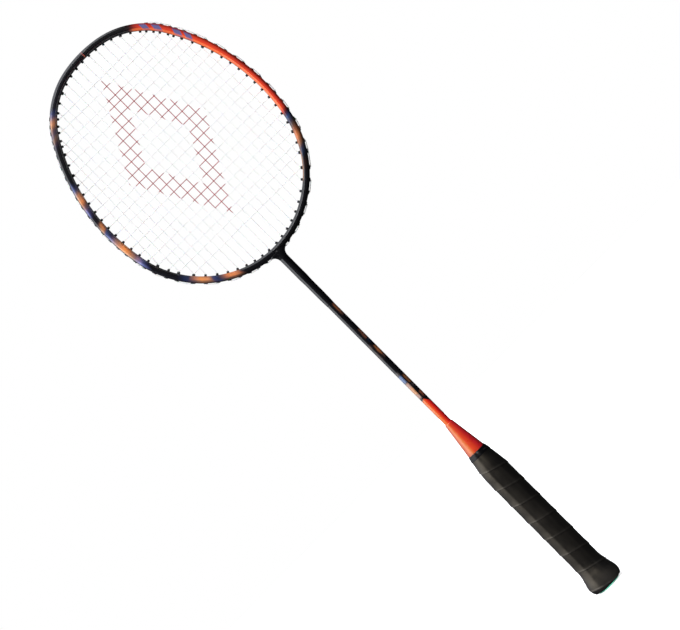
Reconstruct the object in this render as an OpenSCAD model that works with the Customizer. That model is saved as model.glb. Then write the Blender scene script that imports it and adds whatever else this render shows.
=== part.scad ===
// Badminton racket as an assembly of separate pieces.
// The racket stands on its butt end: the origin is the centre of the butt end face,
// +Z runs up the shaft to the head, +X is to the right seen from the front, the front faces -Y.

/* [Overall] */
// Length from the butt end to the top of the head
overall_length = 675; // [665:1:680]

/* [Head outline] */
// Radius of the frame centreline at the throat
throat_radius = 91.9; // [90:0.1:94]
// Radius of the frame centreline at the lower sides
lower_side_radius = 97.95; // [96:0.05:99]
// Radius of the frame centreline at the upper sides
upper_side_radius = 186.2; // [180:0.1:192]
// Radius of the frame centreline at the shoulders
shoulder_radius = 74.2; // [72:0.1:76]
// Angle where the throat arc meets the lower side arc, from level
throat_end_angle = -64.2; // [-66:0.1:-62]
// Angle where the lower side arc meets the upper side arc
lower_side_end_angle = -10.85; // [-12:0.05:-10]
// Angle where the upper side arc meets the shoulder arc
upper_side_end_angle = 31.1; // [30:0.1:32]
// Angle where the shoulder arc meets the top arc
shoulder_end_angle = 80; // [79:0.5:81]

/* [Frame tube] */
// Width of the frame tube seen from the front
tube_face = 6.4; // [6:0.1:7]
// Depth of the frame tube from front to back
tube_depth = 10.4; // [10:0.1:11.5]
// Width of the bevels on the tube's edges, seen from the front
bevel_face = 1.7; // [1:0.1:2]
// Depth of the bevels on the tube's edges
bevel_depth = 2.2; // [1.5:0.1:3]
// Wall of the frame tube
tube_wall = 1.0; // [0.8:0.05:1.1]
// Depth of the string groove round the top of the frame
groove_depth = 1.3; // [1:0.1:1.4]
// Width of the string groove
groove_width = 4.6; // [4.4:0.1:5]
// Angle where the string groove starts on each shoulder, from level
groove_start_angle = 47; // [46.8:0.1:47.6]

/* [Strings] */
// Number of main strings on each side of the centre
mains_per_side = 11; // [11:1:11]
// Number of cross strings
cross_count = 21; // [21:1:21]
// Distance between neighbouring main strings
main_pitch = 8.05; // [8:0.01:8.1]
// Distance between neighbouring cross strings
cross_pitch = 9.22; // [9.18:0.01:9.26]
// Distance from the top of the head to the first cross string
first_cross_drop = 28.1; // [27.8:0.1:28.4]
// Extra gap above the last cross string
last_cross_gap = 1.3; // [0.8:0.1:1.6]
// Diameter of the string
string_diameter = 0.7; // [0.62:0.01:0.72]

/* [Grommets] */
// How far a grommet stands out into the head
stub_length = 2; // [1.6:0.1:2.2]
// Outside diameter of a grommet for one string
grommet_diameter = 2.5; // [2.4:0.05:2.6]
// Outside diameter of a grommet for two strings
shared_grommet_diameter = 3.1; // [3:0.05:3.2]
// Bore diameter of a grommet for one string
grommet_bore = 1.7; // [1.68:0.01:1.8]
// Bore diameter of a grommet for two strings
shared_grommet_bore = 2.1; // [2:0.05:2.2]
// Height of a grommet's outer flange on the sides and at the throat
flange_height = 0.6; // [0.5:0.1:0.8]
// Extra slant of the holes beside the neck, in degrees
neck_hole_slant = 24; // [23:0.5:25]

/* [Shaft] */
// Diameter of the shaft
shaft_diameter = 7.1; // [7:0.05:7.2]
// Bore of the shaft
shaft_bore = 4.7; // [4.4:0.1:5]
// Height of the lower end of the shaft, inside the handle
shaft_bottom = 62; // [50:1:75]
// Height where the moulded neck starts on the shaft
neck_bottom = 356; // [350:1:360]

/* [Handle] */
// Width of the gripped handle
grip_width = 26; // [25.6:0.1:26.6]
// Depth of the gripped handle from front to back
grip_depth = 24.4; // [24:0.1:25]
// Thickness of the grip strip as wound
grip_thickness = 1.5; // [1.4:0.05:1.6]
// Greatest width of the flared butt
butt_width = 33.4; // [33:0.1:34]
// Height of the shoulder where the grip starts to taper
taper_start = 151; // [149:0.5:153]
// Height where the visible part of the cone cap starts
cone_start = 170.2; // [169:0.1:171]
// Height of the top of the cone cap
cone_top = 205.6; // [204:0.1:208]
// Diameter of the cone cap where it leaves the grip
cone_base_diameter = 18.4; // [18.2:0.1:18.6]
// Diameter of the cone cap at its top
cone_top_diameter = 8.5; // [8.3:0.1:8.8]
// Diameter of the badge on the butt end
badge_diameter = 24; // [22:0.5:25]

/* [Hidden] */
$fn = 48;

// Clearance between pieces that are glued or pushed together
fit_gap = 0.05;
// Overlap that makes two shapes of one piece join
weld = 0.1;

string_radius = string_diameter / 2;
// Ball at each bend of a string, a little larger than the string so that its surface crosses the string's
bend_radius = 1.15 * string_radius;
// A string's straight stretches stop short of the centre of a bend
bend_setback = 0.25 * string_radius;
// Mains lie behind the middle plane and crosses in front of it, so that they never cut each other
string_offset = bend_radius + 0.02;

half_face = tube_face / 2;
half_depth = tube_depth / 2;

// Centreline of the right half of the head: tangent arcs from the throat round to the top.
// The top radius is the one that brings the curve back to the middle plane.
arc_from = [-90, throat_end_angle, lower_side_end_angle, upper_side_end_angle, shoulder_end_angle];
arc_to = [throat_end_angle, lower_side_end_angle, upper_side_end_angle, shoulder_end_angle, 90];
given_radii = [throat_radius, lower_side_radius, upper_side_radius, shoulder_radius];
function sum(list, last) = last < 0 ? 0 : list[last] + sum(list, last - 1);
arc_reach = [for (i = [0:3]) given_radii[i] * (cos(arc_to[i]) - cos(arc_from[i]))];
top_radius = sum(arc_reach, 3) / cos(shoulder_end_angle);
arc_radius = concat(given_radii, [top_radius]);
arc_rise = [for (i = [0:4]) arc_radius[i] * (sin(arc_to[i]) - sin(arc_from[i]))];
head_top = overall_length - half_face;
head_bottom = head_top - sum(arc_rise, 4);
last_arc = 4;

// Centre of arc i: each arc starts in the direction in which the one before it ends
function arc_centre(i) =
    i == 0
        ? [0, head_bottom + arc_radius[0]]
        : arc_centre(i - 1)
            + (arc_radius[i - 1] - arc_radius[i]) * [cos(arc_from[i]), sin(arc_from[i])];

// Angle on the curve that runs offset outside the centreline where it reaches a given x
function angle_at_x(x, side, offset) =
    [
        for (i = [0:last_arc])
            let (c = (x - arc_centre(i)[0]) / (arc_radius[i] + offset))
            if (abs(c) <= 1)
                let (a = side * acos(c))
                if (a >= arc_from[i] && a <= arc_to[i]) a
    ][0];

// Angle on the same curve where it reaches a given z
function angle_at_z(z, offset) =
    [
        for (i = [0:last_arc])
            let (s = (z - arc_centre(i)[1]) / (arc_radius[i] + offset))
            if (abs(s) <= 1 && asin(s) >= arc_from[i] && asin(s) <= arc_to[i]) asin(s)
    ][0];

// Point at an angle on the curve that runs offset outside the centreline
function curve_point(angle, offset) =
    [
        for (i = [0:last_arc])
            if (angle >= arc_from[i] && angle <= arc_to[i])
                arc_centre(i) + (arc_radius[i] + offset) * [cos(angle), sin(angle)]
    ][0];

// ---- Holes and grommets of the right half ----
// A hole is [mouth x, mouth z, direction angle, mouth to inner wall, mouth to outer wall, recessed]
mouth_offset = -(half_face + stub_length);

// Towards the corners, top main holes and cross holes alternate, and each pair is moved apart
// by these angles so that their flanges clear each other.
pair_spread = [1.15, 1, 0.9];
last_plain_main = 6;
function spread(k) = k >= 1 && k <= len(pair_spread) ? pair_spread[k - 1] : 0;
function is_grooved(square) = square > groove_start_angle;
function hole(square, direction) =
    let (
        mouth = curve_point(square, mouth_offset),
        slant = cos(direction - square),
        sunk = is_grooved(square) ? groove_depth : 0
    )
    [
        mouth[0],
        mouth[1],
        direction,
        stub_length / slant,
        (stub_length + tube_face - sunk) / slant,
        is_grooved(square)
    ];

function main_x(i) = (i - 0.5) * main_pitch;
function cross_z(j) =
    overall_length - first_cross_drop - (j - 1) * cross_pitch - (j == cross_count ? last_cross_gap : 0);
function top_angle(i) = angle_at_x(main_x(i), 1, mouth_offset) + spread(i - last_plain_main);
function bottom_angle(i) = angle_at_x(main_x(i), -1, mouth_offset);
function cross_angle(j) = angle_at_z(cross_z(j), mouth_offset) - spread(j);
// Holes are square to the frame, except that those beside the neck slant away from it.
// The slant dies away from hole to hole.
slant_decay = 0.36;

function top_hole(i) = hole(top_angle(i), top_angle(i));
function bottom_hole(i) = hole(bottom_angle(i), bottom_angle(i) + neck_hole_slant * pow(slant_decay, i - 1));
function cross_hole(j) = hole(cross_angle(j), cross_angle(j));
// A shared hole lies between the places where its two strings would meet the frame
function shared_hole(main_angle, j, main_share) =
    let (a = cross_angle(j) + main_share * (main_angle - cross_angle(j)))
    hole(a, a);

// Pairs of main and cross that share one hole
top_shared = [[10, 4], [11, 6]];
bottom_shared = [[9, 21], [10, 20], [11, 18]];
own_top_mains = 9;
own_bottom_mains = 8;
tie_off_main = 5;
shared_crosses = concat([for (p = top_shared) p[1]], [for (p = bottom_shared) p[1]]);
function is_shared(j) = len([for (s = shared_crosses) if (s == j) s]) > 0;

function main_top(i) =
    i <= own_top_mains
        ? top_hole(i)
        : [for (p = top_shared) if (p[0] == i) shared_hole(top_angle(i), p[1], 0)][0];
function main_bottom(i) =
    i <= own_bottom_mains
        ? bottom_hole(i)
        : [for (p = bottom_shared) if (p[0] == i) shared_hole(bottom_angle(i), p[1], 0.5)][0];
function pair_of(j) = [for (p = concat(top_shared, bottom_shared)) if (p[1] == j) p][0];
function cross_end(j) =
    is_shared(j)
        ? (j < cross_count / 2 ? main_top(pair_of(j)[0]) : main_bottom(pair_of(j)[0]))
        : cross_hole(j);

top_main_holes = [for (i = [1:own_top_mains]) if (i != tie_off_main) top_hole(i)];
tie_off_holes = [top_hole(tie_off_main)];
side_holes = [for (j = [1:cross_count]) if (!is_shared(j)) cross_hole(j)];
throat_holes = [for (i = [2:own_bottom_mains]) bottom_hole(i)];
neck_holes = [bottom_hole(1)];
top_shared_holes = [for (p = top_shared) main_top(p[0])];
throat_shared_holes = [for (p = bottom_shared) main_bottom(p[0])];

// A flange is this much wider than its grommet all round
flange_margin = 0.6;
// In the groove the flange is thin enough for the string to lie flush with the frame
groove_spare = 0.25;
recessed_flange_height = groove_depth - string_diameter - groove_spare;
function rise_of_flange(h) = h[5] ? recessed_flange_height : flange_height;

// Puts its children at a point of the head plane with their +Z along an angle in that plane
module aim(point, angle) {
    translate([point[0], 0, point[1]])
        rotate([0, 90 - angle, 0])
            children();
}

module both_sides() {
    children();
    mirror([1, 0, 0])
        children();
}

// Bevelled box, centred, grown or shrunk by a margin on every side
module bevelled_box(margin) {
    x = half_face + margin;
    y = half_depth + margin;
    polygon([
        [-x + bevel_face, -y], [x - bevel_face, -y], [x, -y + bevel_depth], [x, y - bevel_depth],
        [x - bevel_face, y], [-x + bevel_face, y], [-x, y - bevel_depth], [-x, -y + bevel_depth]
    ]);
}

module groove_notch() {
    translate([half_face - groove_depth, -groove_width / 2])
        square([groove_depth + weld, groove_width]);
}

// Section of the solid tube, with the string groove where asked
module tube_outside(grooved) {
    difference() {
        bevelled_box(0);
        if (grooved) groove_notch();
    }
}

// Hollow inside the tube; behind the groove its outer side moves in
module tube_inside(grooved, margin) {
    intersection() {
        bevelled_box(-tube_wall + margin);
        if (grooved)
            translate([-tube_face - groove_depth, -tube_depth])
                square([tube_face + half_face - tube_wall + margin, 2 * tube_depth]);
    }
}

// Sweeps its 2D child along arc i of the centreline between two angles
module sweep(i, first, last) {
    c = arc_centre(i);
    translate([c[0], 0, c[1]])
        rotate([90, 0, 0])
            rotate_extrude(angle = last - first, start = first, $fn = 180)
                translate([arc_radius[i], 0])
                    children();
}

// Ring pieces: [arc, from, to, grooved, has a mirror image]
ring_pieces = [
    [0, -180 - throat_end_angle, throat_end_angle, false, false],
    [1, throat_end_angle, lower_side_end_angle, false, true],
    [2, lower_side_end_angle, upper_side_end_angle, false, true],
    [3, upper_side_end_angle, groove_start_angle, false, true],
    [3, groove_start_angle, shoulder_end_angle, true, true],
    [4, shoulder_end_angle, 180 - shoulder_end_angle, true, false]
];

module ring_solid() {
    for (p = ring_pieces) {
        sweep(p[0], p[1], p[2])
            tube_outside(p[3]);
        if (p[4])
            mirror([1, 0, 0])
                sweep(p[0], p[1], p[2])
                    tube_outside(p[3]);
    }
}

// Two short bars inside the front and back walls, where one arc of the tube meets the next,
// so that the arcs join into one solid whatever the rounding of their ends
bar_width = 1;
bar_length = 3;
module seam_bars(angle) {
    p = curve_point(angle, 0);
    for (side = [-1, 1])
        translate([p[0], side * (half_depth - tube_wall / 2), p[1]])
            rotate([0, -angle, 0])
                cube([bar_width, tube_wall - 2 * weld, bar_length], center = true);
}

module ring_tube() {
    both_sides()
        for (i = [1:last_arc])
            seam_bars(arc_from[i]);
    for (p = ring_pieces) {
        sweep(p[0], p[1], p[2])
            difference() {
                tube_outside(p[3]);
                tube_inside(p[3], 0);
            }
        if (p[4])
            mirror([1, 0, 0])
                sweep(p[0], p[1], p[2])
                    difference() {
                        tube_outside(p[3]);
                        tube_inside(p[3], 0);
                    }
    }
}

// ---- Neck ----
neck_top = head_bottom - half_face;
// Thin lower edge of the neck, then the heights above it where the sleeve and the collar start
neck_edge = 0.1;
sleeve_radius = 3.95;
sleeve_from = 11;
sleeve_to = 28;
collar_radius = 4.25;
collar_from = 34;
// The collar ends this far below the ring and widens to the neck's root
root_drop = 12;
neck_root_radius = 4.9;
fillet_radius = 4;
fillet_steps = 6;
// The shaft stops short of the ring; the insert's stem runs down inside its bore
shaft_top = neck_top - 8;
stem_bottom = shaft_top - 42;
t_arm_angle = 15;
// The upper part of the stem and the hole for it are narrower than the shaft
stem_step = 1;

// Profile of the neck: sleeve, collar, then a quarter-round fillet that spreads into the ring
module neck_profile() {
    polygon(concat(
        [
            [0, neck_bottom],
            [shaft_diameter / 2 + neck_edge, neck_bottom],
            [sleeve_radius, neck_bottom + sleeve_from],
            [sleeve_radius, neck_bottom + sleeve_to],
            [collar_radius, neck_bottom + collar_from],
            [collar_radius, neck_top - root_drop]
        ],
        [
            for (k = [0:fillet_steps])
                let (a = 90 * k / fillet_steps)
                [
                    neck_root_radius + fillet_radius * (1 - cos(a)),
                    neck_top - fillet_radius + fillet_radius * sin(a)
                ]
        ],
        [[0, neck_top + tube_wall]]
    ));
}

module neck_solid() {
    intersection() {
        rotate_extrude()
            neck_profile();
        translate([-2 * tube_depth, -half_depth, neck_bottom - 1])
            cube([4 * tube_depth, tube_depth, neck_top - neck_bottom + 4]);
    }
}

module hole_drill(h, radius) {
    aim([h[0], h[1]], h[2])
        cylinder(r = radius, h = h[4] + 2);
}

module all_drills() {
    both_sides() {
        for (h = concat(top_main_holes, side_holes, throat_holes, neck_holes))
            hole_drill(h, grommet_diameter / 2 + fit_gap);
        for (h = concat(tie_off_holes, top_shared_holes, throat_shared_holes))
            hole_drill(h, shared_grommet_diameter / 2 + fit_gap);
    }
}

module head_frame() {
    color("#14141f")
        difference() {
            union() {
                ring_tube();
                difference() {
                    neck_solid();
                    sweep(0, -180 - throat_end_angle, throat_end_angle)
                        tube_inside(false, 0);
                }
            }
            translate([0, 0, neck_bottom - 1])
                cylinder(d = shaft_diameter + 2 * fit_gap, h = shaft_top + 0.5 - neck_bottom + 1);
            translate([0, 0, shaft_top - 1])
                cylinder(d = shaft_diameter - stem_step, h = neck_top + 2 * tube_wall - shaft_top + 1);
            all_drills();
        }
}

module t_joint_insert() {
    color("#8a8d92")
        difference() {
            union() {
                sweep(0, -90 - t_arm_angle, -90 + t_arm_angle)
                    tube_inside(false, -fit_gap);
                translate([0, 0, shaft_top + 0.2])
                    cylinder(d = shaft_diameter - stem_step - 2 * fit_gap, h = head_bottom - shaft_top);
                translate([0, 0, stem_bottom])
                    cylinder(d = shaft_bore - 2 * fit_gap, h = head_bottom - stem_bottom);
            }
            both_sides()
                for (i = [1:4])
                    hole_drill(bottom_hole(i), grommet_diameter / 2 + fit_gap);
        }
}

// ---- Shaft ----
module shaft() {
    color("#17171f")
        translate([0, 0, shaft_bottom])
            difference() {
                cylinder(d = shaft_diameter, h = shaft_top - shaft_bottom);
                translate([0, 0, -1])
                    cylinder(d = shaft_bore, h = shaft_top - shaft_bottom + 2);
            }
}

plug_length = 14;
module shaft_end_plug() {
    color("#d9d2c0")
        translate([0, 0, shaft_bottom])
            cylinder(d = shaft_bore - fit_gap, h = plug_length);
}

// ---- Handle ----
tape_thickness = 0.2;
core_width = grip_width - 2 * (grip_thickness + tape_thickness + 2 * fit_gap);
core_depth = grip_depth - 2 * (grip_thickness + tape_thickness + 2 * fit_gap);
cone_slope = (cone_base_diameter - cone_top_diameter) / 2 / (cone_top - cone_start);
function cone_radius(z) = cone_base_diameter / 2 + cone_slope * (cone_start - z);
// The cone cap runs down under the grip until it is as wide as the core
cap_bottom = cone_start - (core_width - cone_base_diameter) / 2 / cone_slope;
cap_wall = 1.3;
// Small chamfer at the top of the cone cap
cone_chamfer = 0.5;
nose_top = cone_top - 9;
core_bottom = 4;
// The core's lower end is this much narrower, for the butt cap
core_step = 3;
// The core's nose stands clear of the cone cap by this much and starts this far below its lower edge
nose_gap = 0.4;
nose_overlap = 10;
relief_bore = 11;
relief_end_wall = 10;
cap_floor = 1.2;
butt_cap_top = 26;
// Boss inside the butt cap that carries the badge
boss_diameter = badge_diameter + 2;
boss_height = 3;
corner_share = 0.27;

// Towards the cone the grip narrows: its corners go first, over this length below the taper,
// and from there its strip thins down to its trimmed upper end.
grip_top = cone_start - 3;
taper_run = 8;
corner_bulge = 1.6;
shoulder_drop = 0.25;
grip_end_thickness = 0.4;
thin_strip = 0.6;
function grip_radius(z) =
    lookup(z, [
        [taper_start - taper_run, grip_width / 2 + corner_bulge],
        [taper_start, grip_width / 2 - shoulder_drop],
        [grip_top, cone_radius(grip_top) + grip_end_thickness]
    ]);

// Turned outline that shaves the octagon of the handle; an inset makes it smaller, for the pieces inside
module handle_taper(inset) {
    rotate_extrude()
        polygon([
            [0, core_bottom - 1],
            [grip_width, core_bottom - 1],
            [grip_width, taper_start - 2 * taper_run],
            [grip_radius(taper_start - taper_run) - inset, taper_start - taper_run],
            [grip_radius(taper_start) - inset, taper_start],
            [grip_radius(grip_top) - inset, grip_top],
            [0, grip_top]
        ]);
}

// Octagon with wide flats and narrower corner facets
module handle_octagon(width, depth) {
    cut = corner_share * depth;
    x = width / 2;
    y = depth / 2;
    polygon([
        [-x + cut, -y], [x - cut, -y], [x, -y + cut], [x, y - cut],
        [x - cut, y], [-x + cut, y], [-x, y - cut], [-x, -y + cut]
    ]);
}

module cone_cap() {
    color("#e8431c")
        rotate_extrude($fn = 96)
            polygon([
                [cone_radius(cap_bottom), cap_bottom],
                [cone_top_diameter / 2, cone_top - cone_chamfer],
                [cone_top_diameter / 2 - cone_chamfer / 2, cone_top],
                [shaft_diameter / 2 + fit_gap, cone_top],
                [shaft_diameter / 2 + fit_gap, nose_top + 2],
                [cone_radius(nose_top) - cap_wall, nose_top],
                [cone_radius(cap_bottom) - cap_wall, cap_bottom]
            ]);
}

staple_height = 21;
staple_span = 7;
staple_wire = 0.9;
staple_leg = 6;
tack_height = 20;
tack_shank = 1.4;
tack_head = 4;
tack_head_height = 0.7;
tack_length = 6;
tack_sink = 1;

// The flare towards the butt end, as pairs of height and share of the full growth
grip_flare = [[butt_cap_top, 0], [18, 0.37], [11, 0.83], [6.5, 1], [1.8, 0.47]];
cap_flare = [[butt_cap_top, 0], [16, 0.46], [7, 1], [3, 0.62]];
butt_growth = butt_width - grip_width;
cap_width = core_width + 2 * tape_thickness;
cap_depth = core_depth + 2 * tape_thickness;

module flare_slice(width, depth, step) {
    growth = butt_growth * step[1];
    translate([0, 0, step[0]])
        linear_extrude(0.05, center = true)
            handle_octagon(width + growth, depth + growth);
}

// Flared solid made between octagonal slices that grow with the flare
module flare(width, depth, steps) {
    for (k = [0:len(steps) - 2])
        hull() {
            flare_slice(width, depth, steps[k]);
            flare_slice(width, depth, steps[k + 1]);
        }
}

// Half width of the butt cap at a height
function cap_reach(width, z) = (width + butt_growth * lookup(z, cap_flare)) / 2;

module core_pocket(margin) {
    translate([0, 0, core_bottom - margin])
        linear_extrude(cap_bottom - core_bottom)
            handle_octagon(core_width - core_step + 2 * margin, core_depth - core_step + 2 * margin);
}

// Staple driven into one broad side of the butt cap; with a margin it is the slot for it
module staple(side, margin) {
    translate([0, side * (cap_reach(cap_depth, staple_height) - staple_wire), staple_height]) {
        for (x = [-staple_span / 2, staple_span / 2])
            translate([x, 0, 0])
                rotate([side * 90, 0, 0])
                    cylinder(d = staple_wire + 2 * margin, h = staple_leg + margin);
        translate([-(staple_span + staple_wire) / 2 - margin, 0, 0])
            rotate([0, 90, 0])
                cylinder(d = staple_wire + 2 * margin, h = staple_span + staple_wire + 2 * margin);
    }
}

// Tack driven into one side of the butt cap, its head sunk flush
module tack(margin) {
    translate([cap_reach(cap_width, tack_height) - tack_sink, 0, tack_height])
        rotate([0, -90, 0]) {
            cylinder(d = tack_shank + 2 * margin, h = tack_length + margin);
            translate([0, 0, -margin])
                cylinder(d = tack_head + 2 * margin, h = tack_head_height + 2 * margin);
        }
}

// Opens the slots of the staples and the tack to the outside
module fastener_slots() {
    for (side = [-1, 1]) {
        staple(side, fit_gap);
        translate([
            -(staple_span + staple_wire) / 2 - fit_gap,
            side * cap_reach(cap_depth, staple_height) - 1,
            staple_height - staple_wire / 2 - fit_gap
        ])
            cube([staple_span + staple_wire + 2 * fit_gap, 2, staple_wire + 2 * fit_gap]);
    }
    tack(fit_gap);
    translate([cap_reach(cap_width, tack_height) - tack_sink, 0, tack_height])
        rotate([0, 90, 0])
            cylinder(d = tack_head + 2 * fit_gap, h = tack_sink + 2);
}

module handle_core() {
    nose_inset = cap_wall + fit_gap + nose_gap;
    color("#c9a573")
        difference() {
            union() {
                // Lower end, stepped in so that the butt cap sits over it
                core_pocket(0);
                intersection() {
                    translate([0, 0, butt_cap_top + fit_gap])
                        linear_extrude(cap_bottom - butt_cap_top - 2 * fit_gap)
                            handle_octagon(core_width, core_depth);
                    handle_taper(thin_strip + fit_gap);
                }
                rotate_extrude()
                    polygon([
                        [0, cap_bottom - nose_overlap],
                        [cone_radius(cap_bottom) - nose_inset, cap_bottom - nose_overlap],
                        [cone_radius(cap_bottom) - nose_inset, cap_bottom],
                        [cone_radius(nose_top) - nose_inset, nose_top - nose_gap],
                        [0, nose_top - nose_gap]
                    ]);
            }
            translate([0, 0, shaft_bottom - fit_gap])
                cylinder(d = shaft_diameter + 2 * fit_gap, h = cone_top);
            // Relief bore that lightens the lower end
            translate([0, 0, core_bottom - 1])
                cylinder(d = relief_bore, h = shaft_bottom - relief_end_wall - core_bottom + 1);
            fastener_slots();
        }
}

module butt_cap() {
    color("#20262a")
        difference() {
            union() {
                flare(cap_width, cap_depth, cap_flare);
                translate([0, 0, cap_floor])
                    cylinder(d = boss_diameter, h = boss_height);
            }
            core_pocket(fit_gap);
            fastener_slots();
        }
}

module butt_badge() {
    flat_inset = 3;
    rim_inset = 0.8;
    rim = 0.5;
    color("#0d4a48")
        rotate_extrude($fn = 96)
            polygon([
                [0, 0],
                [badge_diameter / 2 - flat_inset, 0],
                [badge_diameter / 2 - rim_inset, rim],
                [badge_diameter / 2, cap_floor - fit_gap],
                [0, cap_floor - fit_gap]
            ]);
}

module butt_cap_staples() {
    color("#b9bcc2")
        for (side = [-1, 1])
            staple(side, 0);
}

module grip_start_tack() {
    color("#b9bcc2")
        tack(0);
}

// The adhesive tape stops this far below the cone cap
tape_end_gap = 8;
module grip_adhesive_tape() {
    color("#efe9da")
        translate([0, 0, butt_cap_top + fit_gap])
            linear_extrude(cap_bottom - butt_cap_top - tape_end_gap)
                difference() {
                    handle_octagon(cap_width, cap_depth);
                    handle_octagon(core_width + fit_gap, core_depth + fit_gap);
                }
}

// Room under the grip strip for the lower edge of the cone cap
cone_seat = 4;

module grip_wrap() {
    color("#131416")
        difference() {
            union() {
                flare(grip_width, grip_depth, grip_flare);
                intersection() {
                    translate([0, 0, butt_cap_top - weld])
                        linear_extrude(grip_top - butt_cap_top + weld)
                            handle_octagon(grip_width, grip_depth);
                    handle_taper(0);
                }
            }
            flare(cap_width + 2 * fit_gap, cap_depth + 2 * fit_gap, cap_flare);
            cylinder(d = boss_diameter + 2 * fit_gap, h = 2 * boss_height);
            intersection() {
                translate([0, 0, butt_cap_top - weld])
                    linear_extrude(cap_bottom - butt_cap_top + weld)
                        handle_octagon(cap_width + 2 * fit_gap, cap_depth + 2 * fit_gap);
                handle_taper(thin_strip);
            }
            rotate_extrude()
                polygon([
                    [0, cap_bottom - cone_seat],
                    [cone_radius(cap_bottom - cone_seat) + fit_gap, cap_bottom - cone_seat],
                    [cone_radius(cone_top) + fit_gap, cone_top],
                    [0, cone_top]
                ]);
        }
}

tape_band = 5.5;
finishing_tape_thickness = 0.25;

module grip_finishing_tape() {
    band_bottom = cone_start - tape_band;
    over = fit_gap + finishing_tape_thickness;
    color("#0b0b0c")
        rotate_extrude($fn = 96)
            polygon([
                [grip_radius(band_bottom) + over, band_bottom],
                [grip_radius(grip_top) + over, grip_top],
                [cone_radius(cone_start) + over, cone_start],
                [cone_radius(cone_start) + fit_gap, cone_start],
                [cone_radius(grip_top) + fit_gap, grip_top + fit_gap],
                [grip_radius(grip_top) + fit_gap, grip_top + fit_gap],
                [grip_radius(band_bottom) + fit_gap, band_bottom]
            ]);
}

// ---- Strings ----
// One straight stretch between two points, with a ball at its far end where the string bends.
// The ball's own axis lies along the stretch.
module stretch(from, to, ball) {
    v = to - from;
    reach = norm(v);
    direction = atan2(v[1], v[0]);
    aim(from, direction)
        translate([0, 0, bend_setback])
            cylinder(r = string_radius, h = reach - 2 * bend_setback, $fn = 24);
    if (ball)
        aim(to, direction)
            rotate([0, 0, 90])
                sphere(r = bend_radius, $fn = 24);
}

module string_along(points) {
    for (k = [0:len(points) - 2])
        stretch(points[k], points[k + 1], k < len(points) - 2);
}

function flip(side, p) = [side * p[0], p[1]];
function mouth(h) = [h[0], h[1]];
// Outside the frame the string clears the flanges; in the corners it passes over a hole between its own two
corner_from = 15;
groove_clearance = 0.15;
corner_clearance = 0.8;
plain_clearance = 0.3;
function loop_clearance(h) =
    h[5] ? groove_clearance : (h[2] > corner_from ? corner_clearance : plain_clearance);
function outside(h) =
    mouth(h) + (h[4] + rise_of_flange(h) + string_radius + loop_clearance(h)) * [cos(h[2]), sin(h[2])];

// Path of one half of the mains: up one, over, down the next
function main_points(side) =
    [
        for (i = [1:mains_per_side])
            let (
                top = [mouth(main_top(i)), outside(main_top(i))],
                bottom = [mouth(main_bottom(i)), outside(main_bottom(i))],
                down = [top[1], top[0], bottom[0], bottom[1]],
                up = [bottom[1], bottom[0], top[0], top[1]]
            )
            for (p = i % 2 == 1 ? down : up) flip(side, p)
    ];

function cross_points() =
    [
        for (j = [1:cross_count])
            let (
                h = cross_end(j),
                level = [flip(-1, outside(h)), flip(-1, mouth(h)), mouth(h), outside(h)],
                back = [level[3], level[2], level[1], level[0]]
            )
            for (p = j % 2 == 1 ? level : back) p
    ];

function reversed(list) = [for (k = [len(list) - 1:-1:0]) list[k]];

// The start of the cross string runs back outside the frame to the tie-off hole and is knotted there
knot_radius = 0.8;
tail_end =
    let (h = top_hole(tie_off_main))
    mouth(h) - knot_radius * [cos(h[2]), sin(h[2])];
function tail_points() =
    [
        for (
            p = concat(
                [tail_end, mouth(top_hole(tie_off_main))],
                [for (i = [tie_off_main:last_plain_main + 1]) outside(top_hole(i))]
            )
        )
            flip(-1, p)
    ];

module main_string() {
    color("#f4f4f2")
        translate([0, string_offset, 0])
            string_along(concat(reversed(main_points(-1)), main_points(1)));
}

module cross_string() {
    color("#f4f4f2")
        union() {
            translate([0, -string_offset, 0])
                string_along(concat(tail_points(), cross_points()));
            translate([-tail_end[0], -string_offset - knot_radius + bend_setback, tail_end[1]])
                sphere(r = knot_radius);
        }
}

// ---- Grommets ----
module washer(outside_diameter, bore, height) {
    difference() {
        cylinder(d = outside_diameter, h = height);
        translate([0, 0, -1])
            cylinder(d = bore, h = height + 2);
    }
}

// A grommet is a tube through the frame with a flange on the outside.
// Flanges of slanted holes reach deeper and are cut to the frame's outer surface.
flange_root = 1;
module grommets(holes, outside_diameter, bore, slanted = false) {
    buried = slanted ? flange_root : 0;
    color("#0c0c0e")
        union() {
            for (h = holes)
                aim([h[0], h[1]], h[2])
                    washer(outside_diameter, bore, h[4] + rise_of_flange(h) / 2);
            difference() {
                for (h = holes)
                    aim([h[0], h[1]], h[2])
                        translate([0, 0, h[4] - buried])
                            washer(outside_diameter + 2 * flange_margin, bore, rise_of_flange(h) + buried);
                if (slanted) {
                    ring_solid();
                    neck_solid();
                }
            }
        }
}

module top_main_grommets() {
    both_sides()
        grommets(top_main_holes, grommet_diameter, grommet_bore);
}

module tie_off_grommets() {
    both_sides()
        grommets(tie_off_holes, shared_grommet_diameter, shared_grommet_bore);
}

module top_shared_grommets() {
    both_sides()
        grommets(top_shared_holes, shared_grommet_diameter, shared_grommet_bore);
}

module right_side_grommets() {
    grommets(side_holes, grommet_diameter, grommet_bore);
}

module left_side_grommets() {
    mirror([1, 0, 0])
        grommets(side_holes, grommet_diameter, grommet_bore);
}

module throat_grommets() {
    both_sides()
        grommets(throat_holes, grommet_diameter, grommet_bore, slanted = true);
}

module neck_grommets() {
    both_sides()
        grommets(neck_holes, grommet_diameter, grommet_bore, slanted = true);
}

module throat_shared_grommets() {
    both_sides()
        grommets(throat_shared_holes, shared_grommet_diameter, shared_grommet_bore);
}

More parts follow.
